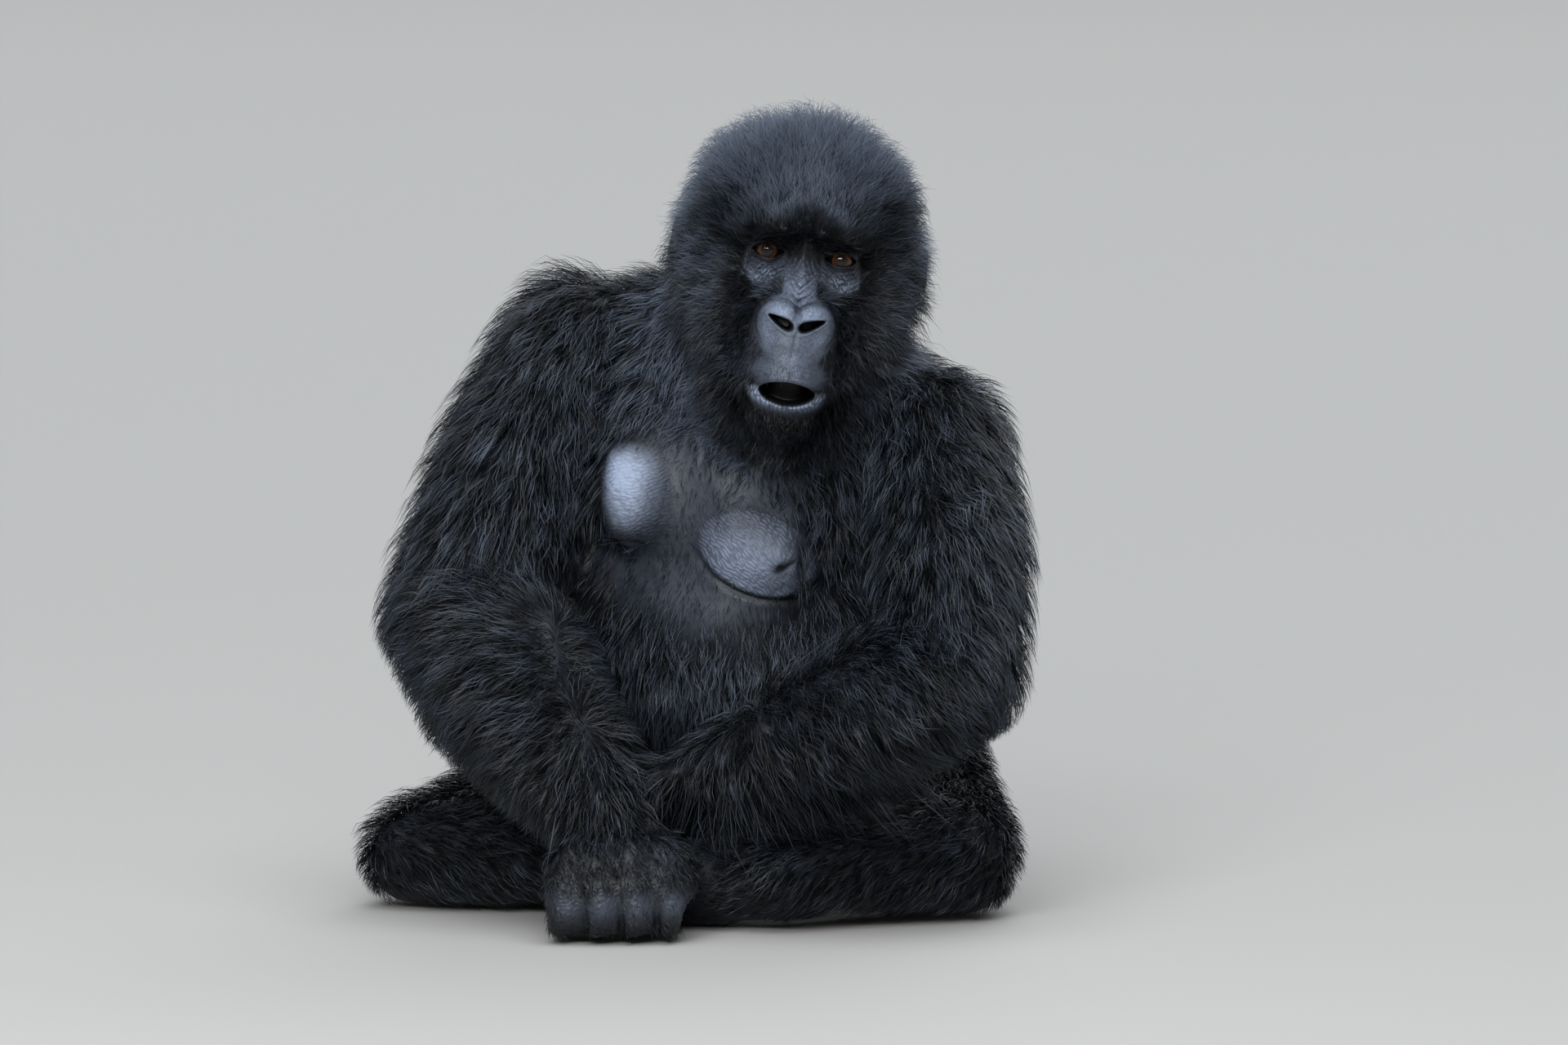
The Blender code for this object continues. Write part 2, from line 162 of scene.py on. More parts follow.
def tilted_oval(x, z, cx, cz, rx, rz, tilt):
    """1 on the edge of an oval, less inside."""
    u, v = turned(x, z, cx, cz, tilt)
    return np.hypot(u / rx, v / rz)


def slot_oval(x, z, cx, cz, rx, rz, tilt, slim=1.0, power=2.3):
    """The same for a fuller oval, whose height can change along it."""
    u, v = turned(x, z, cx, cz, tilt)
    return (np.abs(u / rx) ** power + np.abs(v / rz / slim) ** power) ** (1 / power)


def ridge(value, place, width):
    """1 where the value is at its place, falling off on both sides."""
    return np.exp(-(((value - place) / width) ** 2))


def higher(a, b, soft):
    """The larger of two reliefs, with the corner between them rounded."""
    top = np.maximum(a, b)
    return top + soft * np.log(np.exp((a - top) / soft) + np.exp((b - top) / soft))


def wrinkles(x, z, size, tilt, spread=28):
    """Irregular creases about size apart that run across the tilt: 0 in them, up to 1 between."""
    out = 0
    for k in range(7):
        angle = math.radians(tilt + spread * math.sin(5.1 * k + 1))
        pitch = 2 * size * (1 + 0.35 * math.sin(3.7 * k))
        out += np.sin((x * math.cos(angle) + z * math.sin(angle)) * 2 * math.pi / pitch + 1.9 * k)
    return np.minimum(np.abs(out) * 0.5, 1)


def along(z, *stops):
    """A profile: the value at height z, from (height, value) stops."""
    stops = sorted(stops)
    knots, values = [s[0] for s in stops], [s[1] for s in stops]
    spread = np.array((-4.5, -1.5, 1.5, 4.5))
    return np.mean([np.interp(z + d, knots, values) for d in spread], axis=0)


# ---- meshes as arrays ----
def array_of(items, key, width, kind=float):
    """One row of numbers for each item of a mesh."""
    flat = np.empty(len(items) * width, kind)
    items.foreach_get(key, flat)
    return flat.reshape(-1, width)


def points_of(mesh):
    return array_of(mesh.vertices, "co", 3)


def normals_of(mesh):
    return array_of(mesh.vertices, "normal", 3)


def edges_of(mesh):
    return array_of(mesh.edges, "vertices", 2, int)


def triangles_of(mesh, corners="vertices"):
    mesh.calc_loop_triangles()
    return array_of(mesh.loop_triangles, corners, 3, int)


def spread_out(field, edges, rounds):
    """Evens out a value, or a vector, between neighbouring vertices."""
    field = np.array(field, float).reshape(len(field), -1)
    count = np.bincount(edges.ravel(), minlength=len(field))[:, None] + 1.0
    for _ in range(rounds):
        total = field.copy()
        for column in range(field.shape[1]):
            total[:, column] += np.bincount(edges[:, 0], field[edges[:, 1], column], len(field))
            total[:, column] += np.bincount(edges[:, 1], field[edges[:, 0], column], len(field))
        field = total / count
    return field[:, 0] if field.shape[1] == 1 else field


def unit(vectors):
    """The vectors at length 1."""
    return vectors / np.maximum(np.linalg.norm(vectors, axis=-1, keepdims=True), 1e-9)


def object_from(name, points, faces, material=None):
    mesh = bpy.data.meshes.new(name)
    mesh.from_pydata(np.asarray(points).tolist(), [], [tuple(map(int, f)) for f in faces])
    mesh.validate()
    obj = bpy.data.objects.new(name, mesh)
    bpy.context.scene.collection.objects.link(obj)
    if material:
        mesh.materials.append(material)
    return obj


def remeshed(obj, grain, rounds):
    """Fuses an object's shells into one even skin and smooths it."""
    fuse = obj.modifiers.new("fuse", "REMESH")
    fuse.mode = "VOXEL"
    fuse.voxel_size = grain
    soften = obj.modifiers.new("soften", "SMOOTH")
    soften.iterations = rounds
    graph = bpy.context.evaluated_depsgraph_get()
    mesh = bpy.data.meshes.new_from_object(obj.evaluated_get(graph))
    obj.modifiers.clear()
    old = obj.data
    obj.data = mesh
    bpy.data.meshes.remove(old)


def move_points(obj, points):
    obj.data.vertices.foreach_set("co", points.ravel())
    obj.data.update()


def nearest_faces(tree, points):
    """Index of the nearest face and the distance to it, for each point."""
    found = [tree.find_nearest(Vector(p)) for p in points]
    return np.array([f[2] for f in found]), np.array([f[3] for f in found])


# ---- the body under the coat ----
def body_soup():
    """All flesh nodes as one bag of triangles, and which node each came from."""
    points, faces, owner = [], [], []
    start = 0
    for index, name in enumerate(FLESH):
        mesh = NODES[name].data
        points.append(points_of(mesh))
        tris = triangles_of(mesh)
        faces.append(tris + start)
        owner.append(np.full(len(tris), index))
        start += len(mesh.vertices)
    return np.concatenate(points), np.concatenate(faces), np.concatenate(owner)


def plug(points, faces, centre, radii):
    """Adds an ellipsoid, placed in the head's axes, that fills one of the solid's hollows."""
    shape = bmesh.new()
    bmesh.ops.create_icosphere(shape, subdivisions=3, radius=1.0)
    local = np.array([v.co for v in shape.verts]) * radii + centre
    tris = np.array([[v.index for v in f.verts] for f in shape.faces])
    shape.free()
    return np.concatenate((points, from_face(local))), np.concatenate((faces, tris + len(points)))


def face_oval(local):
    """0 at the middle of the bare face, 1 at its edge, from the head's axes."""
    x, z = local[:, 0], local[:, 2]
    half = along(z, (-190, 44), (-150, 52), (-90, 53), (-40, 58), (0, 60), (40, 56))
    return np.hypot(x / half, (z + 68) / 108)


def coat_depth(points, normals, owner):
    """Metres of coat over each point of the outline."""
    depth = np.zeros(len(points))
    for index, name in enumerate(FLESH):
        depth[owner == index] = COAT[name.split("_")[0]]
    local = to_face(points)
    x, z = chest_place(points)
    facing = on_nodes(owner, "trunk") * step(normals @ FRONT, 0.0, 0.6)
    depth += facing * step(local[:, 2], -520, -420) * (16 - depth)
    depth += facing * chest_front(x, z) * (6 - depth)
    bare = np.minimum(*breasts(x, z))
    depth += facing * (1 - step(bare, 0.85, 1.3)) * (2.5 - depth)
    depth *= 1 - 0.75 * bump(x, z, -238, -340, 45, 62)  # where arm and flank all but touch
    in_head = on_nodes(owner, "head")
    shown = 1 - step(face_oval(local), 1.0, 1.65)
    depth[in_head] *= (1 - shown * step(-local[:, 1], -75, -50))[in_head]
    for away in from_ears(points):
        depth *= step(away, 0.012, 0.048)
    low_down = 1 - step(points[:, 2], 0.004, 0.030)
    depth = np.minimum(depth, depth * (1 - low_down) + 5 * low_down)
    return depth / 1000


def build_body():
    """The skin, the coat's outline over it, and a function that finds a point's own node."""
    points, faces, owner = body_soup()
    nodes = BVHTree.FromPolygons(points.tolist(), faces.tolist())

    def owner_of(spots):
        return owner[nearest_faces(nodes, spots)[0]]

    filled = plug(points, faces, (0, -8, -105), (44, 46, 58))
    filled = plug(*filled, (2, -28, -146), (36, 26, 18))
    for side in (-1, 1):
        filled = plug(*filled, (side * EYE_X, 12, -2), (24, 14, 17))
        filled = plug(*filled, (side * 14, -40, -70), (16, 16, 13))
    skin = object_from("skin", *filled)
    remeshed(skin, OUTLINE_GRAIN, 3)
    points, normals, edges = points_of(skin.data), normals_of(skin.data), edges_of(skin.data)
    outline = BVHTree.FromPolygons(points.tolist(), triangles_of(skin.data).tolist())
    depth = spread_out(coat_depth(points, normals, owner_of(points)), edges, 12)
    inward = unit(spread_out(normals, edges, 6))
    move_points(skin, points - inward * depth[:, None])
    remeshed(skin, SKIN_GRAIN, 5)
    return skin, outline, owner_of


# ---- the face, as a relief in mm towards the viewer ----
def relief(x, z):
    """How far the face stands out at x and z."""
    out = planes(x, z)
    for carve in (carve_nose, carve_mouth, carve_folds):
        out = carve(out, x, z)
    for side, opening in ((-1, 7.9), (1, 6.6)):
        out = eyelids(out, (x - side * EYE_X) * side, z + EYE_DROP, opening)
    return out


def planes(x, z):
    """The large forms, rounded into each other."""
    ax = np.abs(x)
    # brow, temples and the plane of the eyes
    upper = along(z, (60, 14), (44, 20), (30, 23), (20, 22), (12, 8), (2, -3), (-14, -4),
                  (-30, -3), (-50, -8), (-80, -18), (-110, -26), (-200, -34))
    upper = upper - 20 * (ax / 62) ** 3
    upper += 3.5 * bump(ax, z, 30, 21, 20, 8, -8)
    upper += 6.0 * bump(ax, z, 40, -32, 16, 11)
    # bridge of the nose
    bridge = along(z, (30, 20), (12, 12), (0, 10), (-15, 15), (-30, 24), (-45, 33), (-60, 38))
    wide = along(z, (20, 14), (0, 12), (-20, 16), (-40, 22), (-60, 30))
    bridge = bridge - 26 * (ax / wide) ** 2
    # muzzle
    top = along(z, (-36, 8), (-44, 24), (-54, 38), (-66, 46), (-82, 51), (-98, 55), (-114, 60),
                (-126, 64), (-134, 63), (-150, 60), (-158, 58), (-166, 53), (-178, 42),
                (-192, 32), (-215, 20))
    half = along(z, (-36, 20), (-48, 34), (-62, 43), (-80, 46), (-105, 47), (-130, 51),
                 (-150, 50), (-170, 44), (-190, 38), (-215, 34))
    root = -24.0
    muzzle = root + (top - root) * np.sqrt(np.clip(1 - (ax / half) ** 2.4, 0.0, 1))
    return higher(higher(upper, bridge, 3.0), muzzle, 3.5)


def carve_nose(out, x, z):
    """A heart-shaped pad with folds round it, a cleft, and a comma for each nostril."""
    ax = np.abs(x)
    heart = nose_heart(x, z)
    out += 4.5 * (1 - step(heart, 0.72, 1.04)) * (1 - 0.8 * step(-z, 86, 106))
    out -= 2.2 * ridge(heart, 1.08, 0.06) * (1 - step(-z, 80, 96))
    out += 2.6 * ridge(heart, 1.22, 0.08) * (1 - step(-z, 58, 72))
    out -= 1.6 * ridge(heart, 1.37, 0.06) * (1 - step(-z, 50, 62))
    out += 3.0 * bump(ax, z, 17, -56, 12, 7, -20)
    out -= 6.0 * bump(x, z, 1, -53, 3.2, 12)
    out -= 1.3 * bump(x, z, 2 + 0.06 * (z + 88), -88, 2.2, 17)
    nostril = nostrils(x, z)
    out += 1.8 * ridge(nostril, 1.35, 0.22) * step(z, -86, -70)
    out -= 24 * (1 - step(nostril, 0.66, 1.06))
    return out


def carve_mouth(out, x, z):
    """A dark opening with a thin upper lip, a thick lower one and a crease at each corner."""
    ax = np.abs(x)
    lips = mouth_oval(x, z)
    out += 1.0 * ridge(lips, 1.24, 0.14) * step(z, -140, -130)
    crescent = lower_lip(x, z)
    out += 2.6 * ridge(crescent, 0.97, 0.15) * step(-z, 131, 142)
    lip = ridge(crescent, 1.0, 0.15) * step(-z, 135, 144)
    out += 1.5 * (wrinkles(x, z, 4.2, 0, 35) - 0.5) * lip
    corner = ridge(z, -135 + 0.06 * (ax - 27), 1.8)
    out -= 3.0 * corner * step(ax, 25, 29) * (1 - step(ax, 38, 44))
    out -= 44 * (1 - step(lips, 0.80, 1.02))
    return out


def carve_folds(out, x, z):
    """Folds and wrinkles of the bridge, the nose's flanks, the cheeks and the upper lip."""
    ax = np.abs(x)
    for low, slope, size in ((-34, 0.95, 4.0), (-47, 0.80, 3.8), (-24, 0.6, 2.4), (-14, 0.5, 1.6)):
        vee = z - low - slope * ax - 0.8 * np.sin(x / 2.3)
        out -= size * ridge(vee, 0, 1.3) * (1 - step(ax, 8, 16))
        out += 0.7 * size * ridge(vee, -3.0, 1.8) * (1 - step(ax, 8, 15))
    out -= 2.6 * ridge(ax, 19 + 0.45 * (-16 - z), 1.9) * bump(x, z, 0, -31, 60, 18)
    out += 1.8 * ridge(ax, 23 + 0.50 * (-16 - z), 2.0) * bump(x, z, 0, -33, 60, 17)
    out -= 1.8 * ridge(ax, 28 + 0.55 * (-20 - z), 1.6) * bump(x, z, 0, -34, 60, 15)
    for place, size in ((-7, 0.9), (2, 1.2), (9, 0.8)):
        out -= size * ridge(x, place + 0.1 * z, 1.6) * bump(x, z, 0, 14, 30, 14)
    out += 0.45 * wrinkles(x, z, 2.4, 0, 60) * bump(x, z, 0, -104, 34, 16)
    out += 0.9 * wrinkles(x, z, 3.0, 10, 30) * bump(x, z, 0, -114, 16, 9)
    out += 1.3 * wrinkles(x, z, 3.6, 90, 40) * bump(x, z, 0, -24, 12, 18)
    out += 3.2 * wrinkles(ax, z, 4.2, 55, 45) * bump(ax, z, 37, -26, 17, 12)
    out += 0.4 * np.sin((z - 0.25 * ax) * 0.9) * bump(ax, z, 46, -100, 14, 30)
    return out


def nose_heart(x, z):
    """1 on the rim of the nose's pad, less inside."""
    ax = np.abs(x - 1)
    lobe = np.hypot((ax - 18.5) / 21.5, (z + 71) / 22.5)
    return np.minimum(lobe, np.hypot(ax / 33, (z + 84) / 25))


def nostrils(x, z):
    """1 on a nostril's edge, less inside: each is widest next to the cleft, then runs out."""
    ax = np.abs(x - 1)
    slim = np.clip(7.6 - 0.17 * ax, 1.8, None)
    return slot_oval(ax, z, 16.0, -68, 14.3, 1.0, 22, slim)


def mouth_oval(x, z):
    """1 on the edge of the mouth's opening, less inside."""
    return slot_oval(x, z - 0.0016 * (x - 1) ** 2, 1, -139, 29, 12.5, 0, power=1.8)


def lower_lip(x, z):
    """1 along the middle of the lower lip."""
    return np.hypot((x - 2) / 39, (z + 134) / 18.5)


def eyelids(out, x, z, opening):
    """Lids that lie on the ball, with folds above and wrinkles below: x from the ball's
    centre towards the temple, z up from it."""
    far = np.hypot(x, z)
    ball = -EYE_DEPTH + np.sqrt(np.clip(14.4**2 - far**2, 0, None))
    near = 1 - step(far, 12.5, 19)
    out = out + near * (np.maximum(ball, -9.0) - out)
    out += 3.0 * bump(x, z, 1, 10.5, 17, 3.2, 4) - 2.0 * bump(x, z, 0, 15.5, 18, 2.0, 4)
    wander = 0.9 * np.sin(x / 3.1) + 0.5 * np.sin(x / 1.7 + z / 3)
    for ring, size in ((12.8, 1.8), (16.6, 1.7), (20.8, 1.6), (25.2, 1.3), (30.0, 0.9)):
        sag = np.hypot(x * 0.80, z) + wander
        out -= size * ridge(sag, ring, 1.2) * step(-z, 1.0, 6.0)
        out += 0.8 * size * ridge(sag, ring + 2.1, 1.2) * step(-z, 1.0, 6.0)
    for slant, lean, size in ((5.6, 0.9, 1.9), (8.3, -0.5, 1.3)):
        crease = np.sin((z + lean * x) * 2 * math.pi / slant + 1.2 * np.sin(x / 4))
        out += size * np.minimum(crease, 0.1) * bump(x, z, 2, -21, 17, 9)
    half = opening * np.clip(1 - (np.abs(x + 0.5) / 16.2) ** 2.2, 0, 1) ** 0.75
    inside = np.where(z > 0, z / np.maximum(half, 0.01), -z / np.maximum(half * 0.86, 0.01))
    inside = np.where(np.abs(x + 0.5) < 16.1, inside, 9.0)
    out += 0.8 * ridge(inside, 1.22, 0.2)
    return out - 16 * (1 - step(inside, 0.88, 1.06)) * (far < 17)


def refined(skin, chosen, cuts):
    """Splits the faces whose corners are all chosen into finer ones."""
    shape = bmesh.new()
    shape.from_mesh(skin.data)
    shape.verts.ensure_lookup_table()
    edges = [e for e in shape.edges if chosen[e.verts[0].index] and chosen[e.verts[1].index]]
    bmesh.ops.subdivide_edges(shape, edges=edges, cuts=cuts, use_grid_fill=True)
    bmesh.ops.triangulate(shape, faces=shape.faces)
    shape.to_mesh(skin.data)
    shape.free()


def sculpt_face(skin):
    """Refines the front of the head and lays the relief over it."""
    local = to_face(points_of(skin.data))
    refined(skin, (face_oval(local) < 1.22) & (local[:, 1] < 48), 4)
    local = to_face(points_of(skin.data))
    oval = face_oval(local)
    weight = (1 - step(oval, 1.0, 1.2)) * (1 - step(local[:, 1], 30, 46))
    local[:, 1] += weight * (-relief(local[:, 0], local[:, 2]) - local[:, 1])
    move_points(skin, from_face(local))


# ---- the chest and the right hand ----
def breasts(x, z):
    """For each breast, 1 at the edge of its bare skin, less inside."""
    return tilted_oval(x, z, *LEFT_BREAST), slot_oval(x, z, *RIGHT_BREAST, power=3.6)


def chest_front(x, z):
    """1 over the thinly haired skin round the breasts."""
    return 1 - step(tilted_oval(x, z, -108, -285, 112, 118, 0), 0.65, 1.2)


def chest_relief(x, z):
    """mm by which folds, creases and the nipple stand out."""
    left, right = breasts(x, z)
    flank = np.where(left > 0.97, 0.10, 0.034)  # the fold's outer side is the gentler
    out = -3.8 * ridge(left, 0.97, flank) * step(-z, 300, 318) * (1 - step(x, -8, 14))
    out += 2.0 * ridge(left, 0.84, 0.09) * step(-z, 306, 330) * (1 - step(x, -4, 20))
    level = ridge(z, -300 - 0.08 * (x + 190), 2.4)
    out -= 4.5 * level * step(x, -225, -215) * (1 - step(x, -180, -160))
    out += 8.0 * bump(x, z, -27, -316, 6.5, 6.5) - 3.0 * bump(x, z, -25, -319, 2.5, 2.5)
    out -= 3.0 * bump(x, z, -16, -318, 13, 3.0, 28)
    creased = (1 - step(left, 0.85, 1.0)) * (1 - bump(x, z, -26, -316, 18, 18))
    out += 1.1 * wrinkles(x, z, 3.7, 42, 34) * creased
    away = np.degrees(np.arctan2(z + 322, -24 - x))
    out += 0.5 * np.sin(away / 3.2) * bump(x, z, -26, -316, 16, 16)
    return out + 0.7 * wrinkles(x, z, 3.8, 96, 30) * (1 - step(right, 0.85, 1.05))


def find_chest(skin, owner_of):
    """The skin's points and normals, and which of them lie on or round the bare breasts."""
    points, normals = points_of(skin.data), normals_of(skin.data)
    mine = (np.minimum(*breasts(*chest_place(points))) < 1.3) & (normals @ FRONT > 0.0)
    mine[mine] = on_nodes(owner_of(points[mine]), "trunk")
    return points, normals, mine


def sculpt_chest(skin, owner_of):
    _, _, coarse = find_chest(skin, owner_of)
    refined(skin, coarse, 3)
    points, normals, mine = find_chest(skin, owner_of)
    out = chest_relief(*chest_place(points)) * mine * step(normals @ FRONT, 0.0, 0.35)
    move_points(skin, points + normals * out[:, None] / 1000)


def knuckles(x, z):
    """mm by which the right hand's front stands out: x from its middle, z up from the floor."""
    out = 0
    for finger in FINGERS:
        out = out + 3.0 * bump(x, z, finger, 38 - 0.05 * abs(finger), 13, 15)
    for one, other in zip(FINGERS, FINGERS[1:]):
        gap = (one + other) / 2
        out -= 6.0 * ridge(x, gap, 3.4) * bump(x, z, gap, 20, 40, 17)
    out += 3.0 * bump(x, z, 14, 92, 13, 12) + 3.0 * bump(x, z, 48, 84, 12, 12)
    out -= 3.0 * bump(x, z, 31, 86, 6, 17)
    return out + 1.0 * wrinkles(x, z, 4.0, 80, 50) * (1 - step(z, 60, 100))


def find_hand(skin, owner_of):
    """The skin's points and normals, and which of them are the front of the right hand."""
    low, high = (np.array(corner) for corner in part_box("hand_right"))
    points, normals = points_of(skin.data), normals_of(skin.data)
    mine = ((points > low) & (points < high)).all(axis=1) & (normals[:, 1] < 0.1)
    mine[mine] = on_nodes(owner_of(points[mine]), "hand_right")
    return points, normals, mine


def sculpt_hand(skin, owner_of):
    _, _, coarse = find_hand(skin, owner_of)
    refined(skin, coarse, 2)
    points, normals, mine = find_hand(skin, owner_of)
    out = knuckles(*hand_place(points)) * mine * step(-normals[:, 1], -0.1, 0.3)
    move_points(skin, points + normals * out[:, None] / 1000)


# ---- materials ----
def principled(name, colour, roughness, **values):
    """A plain material; other sockets of the shader go by their names, with _ for a space."""
    material = bpy.data.materials.new(name)
    material.use_nodes = True
    shader = material.node_tree.nodes["Principled BSDF"]
    shader.inputs["Base Color"].default_value = (*colour, 1)
    shader.inputs["Roughness"].default_value = roughness
    for key, value in values.items():
        shader.inputs[key.replace("_", " ")].default_value = value
    return material


def tint(material, dark, light):
    """Makes the base colour run from dark to light with the paleness painted on the mesh."""
    nodes, links = material.node_tree.nodes, material.node_tree.links
    painted = nodes.new("ShaderNodeAttribute")
    painted.attribute_name = PALENESS
    mix = nodes.new("ShaderNodeMix")
    mix.data_type = "RGBA"
    mix.inputs["A"].default_value = (*dark, 1)
    mix.inputs["B"].default_value = (*light, 1)
    links.new(painted.outputs["Fac"], mix.inputs["Factor"])
    links.new(mix.outputs["Result"], nodes["Principled BSDF"].inputs["Base Color"])


def roughen(material):
    """Adds the skin's fine creases, as bump."""
    nodes, links = material.node_tree.nodes, material.node_tree.links
    grain = nodes.new("ShaderNodeTexVoronoi")
    grain.inputs["Scale"].default_value = 520
    grain.feature = "DISTANCE_TO_EDGE"
    place = nodes.new("ShaderNodeTexCoord")
    relief_node = nodes.new("ShaderNodeBump")
    relief_node.inputs["Strength"].default_value = 0.35
    relief_node.inputs["Distance"].default_value = 0.0006
    links.new(place.outputs["Object"], grain.inputs["Vector"])
    links.new(grain.outputs["Distance"], relief_node.inputs["Height"])
    links.new(relief_node.outputs["Normal"], nodes["Principled BSDF"].inputs["Normal"])


SKIN = principled("bare_skin", (0.03, 0.03, 0.035), 0.40, Specular_IOR_Level=0.28)
tint(SKIN, dark=(0.0015, 0.0015, 0.002), light=(0.283, 0.338, 0.456))
roughen(SKIN)
FUR = principled("fur", (0.012, 0.012, 0.016), 0.40, Specular_IOR_Level=0.28)
tint(FUR, dark=(0.0012, 0.0015, 0.0021), light=(0.095, 0.118, 0.162))
EYE_COLOURS = [principled(*values, IOR=1.42) for values in (
    ("pupil", (0.002, 0.002, 0.002), 0.03),
    ("iris_inner", (0.018, 0.008, 0.004), 0.03),
    ("iris", (0.070, 0.026, 0.009), 0.03),
    ("eye_rim", (0.010, 0.005, 0.004), 0.08),
)]


# ---- eyes ----
def build_eye(name, side):
    """A ball turned to face forward, with pupil and iris as rings of its own mesh."""
    rings, fine_rings, sectors = 26, 16, 36
    # angles from the middle of the pupil: edges of pupil, inner iris, iris and cornea
    edges, cornea = (0.38, 0.58, 0.86), 0.90
    angles = np.concatenate((np.linspace(0, cornea, fine_rings),
                             np.linspace(1.0, math.pi, rings - fine_rings)))
    reach = EYEBALL * 1000 * (1 + 0.05 * (1 - step(angles, 0.35, cornea)))
    turns = 2 * math.pi * np.arange(sectors) / sectors
    points, faces, kinds = [], [], []
    for angle, far in zip(angles, reach):
        wide = far * math.sin(angle)
        for turn in turns:
            points.append((wide * math.cos(turn), -far * math.cos(angle), wide * math.sin(turn)))
    for ring in range(rings - 1):
        for sector in range(sectors):
            a, b = ring * sectors + sector, ring * sectors + (sector + 1) % sectors
            faces.append((a, b, b + sectors, a + sectors))
            kinds.append(int(np.searchsorted(edges, angles[ring + 1])))
    local = np.array(points) + (side * EYE_X, EYE_DEPTH, -EYE_DROP)
    eye = object_from(name + "_ball", from_face(local), faces)
    for material in EYE_COLOURS:
        eye.data.materials.append(material)
    eye.data.polygons.foreach_set("material_index", kinds)
    eye.data.shade_smooth()
    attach(eye, "root")
    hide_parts(name)


# ---- fur: how it lies ----
def centre_of(name):
    return points_of(NODES[name].data).mean(0)


def limb_axis(name, onward):
    """Long axis of a limb's node, pointing towards the node that follows it."""
    points = points_of(NODES[name].data)
    _, _, axes = np.linalg.svd(points - points.mean(0), full_matrices=False)
    return axes[0] * np.sign(axes[0] @ (centre_of(onward) - points.mean(0)))


def lie_on(name, points, normals):
    """Direction in which the hair lies on one node, at some of its points."""
    down = np.array((0.0, 0.0, -1.0))
    side = name.split("_")[-1]
    if name.startswith("upper_arm"):
        outward = np.array((-1.0 if side == "right" else 1.0, 0.2, -0.2))
        top = step(normals[:, 2], 0.35, 0.9)[:, None]
        return limb_axis(name, "forearm_" + side) + 0.2 * down + 1.3 * top * outward
    if name.startswith("forearm"):
        axis = limb_axis(name, "hand_" + side)
        far = (points - centre_of("hand_" + side)) @ -axis
        return 0.85 * down - 0.75 * step(far, 0.06, 0.17)[:, None] * axis
    if name.startswith("hand"):
        return unit(centre_of(name) - centre_of("forearm_" + side)) + 0.4 * down
    if name.startswith("thigh"):
        return limb_axis(name, "shin_" + side) + 0.5 * down
    if name.startswith("shin"):
        return limb_axis(name, "foot_" + side) + 0.5 * down
    if name.startswith("foot"):
        return unit(centre_of(name) - centre_of("shin_" + side))
    if name == "neck":
        return down + 0.9 * unit(points - np.array(FACE))
    if name == "head":
        local = to_face(points)
        away = unit(local - (0, -10, -58))
        away[:, 1] = np.maximum(away[:, 1], 0.0) * 1.2
        away[:, 2] -= 0.55 * step(-local[:, 2], -30, 90) + 1.5 * step(local[:, 1], 60, 120)
        return away @ TURN.T
    return down + 0.7 * unit((points - centre_of("trunk")) * (1, 1, 0))


def lie_of_coat(points, normals, owner, edges):
    """Unit vector along which the hair lies, at each point of the skin."""
    lie = np.empty((len(points), 3))
    for index, name in enumerate(FLESH):
        mine = owner == index
        lie[mine] = lie_on(name, points[mine], normals[mine])
    lie = spread_out(lie, edges, 20)
    lie -= normals * np.sum(lie * normals, axis=1, keepdims=True)
    return unit(lie)


# ---- fur: single hairs ----
def scattered(points, tris, weight, count):
    """Random roots on the skin: the triangle of each and its place in it."""
    a, b, c = (points[tris[:, k]] for k in range(3))
    area = np.linalg.norm(np.cross(b - a, c - a), axis=1) / 2
    chance = area * weight[tris].mean(axis=1)
    chosen = rng.choice(len(tris), count, p=chance / chance.sum())
    u, v = rng.random((2, count))
    flip = u + v > 1
    u[flip], v[flip] = 1 - u[flip], 1 - v[flip]
    return chosen, np.stack((1 - u - v, u, v), axis=1)


def at_roots(values, tris, chosen, share):
    """A per-vertex value, read at the roots."""
    corner = values[tris[chosen]]
    if corner.ndim == 2:
        return (corner * share).sum(axis=1)
    return (corner * share[:, :, None]).sum(axis=1)


def locks_of(roots, every):
    """Groups the hairs into locks: for each hair, the number of the leading hair nearest to it."""
    leaders = np.arange(0, len(roots), every)
    tree = KDTree(len(leaders))
    for number, leader in enumerate(leaders):
        tree.insert(roots[leader], number)
    tree.balance()
    return leaders, np.array([tree.find(r)[1] for r in roots])


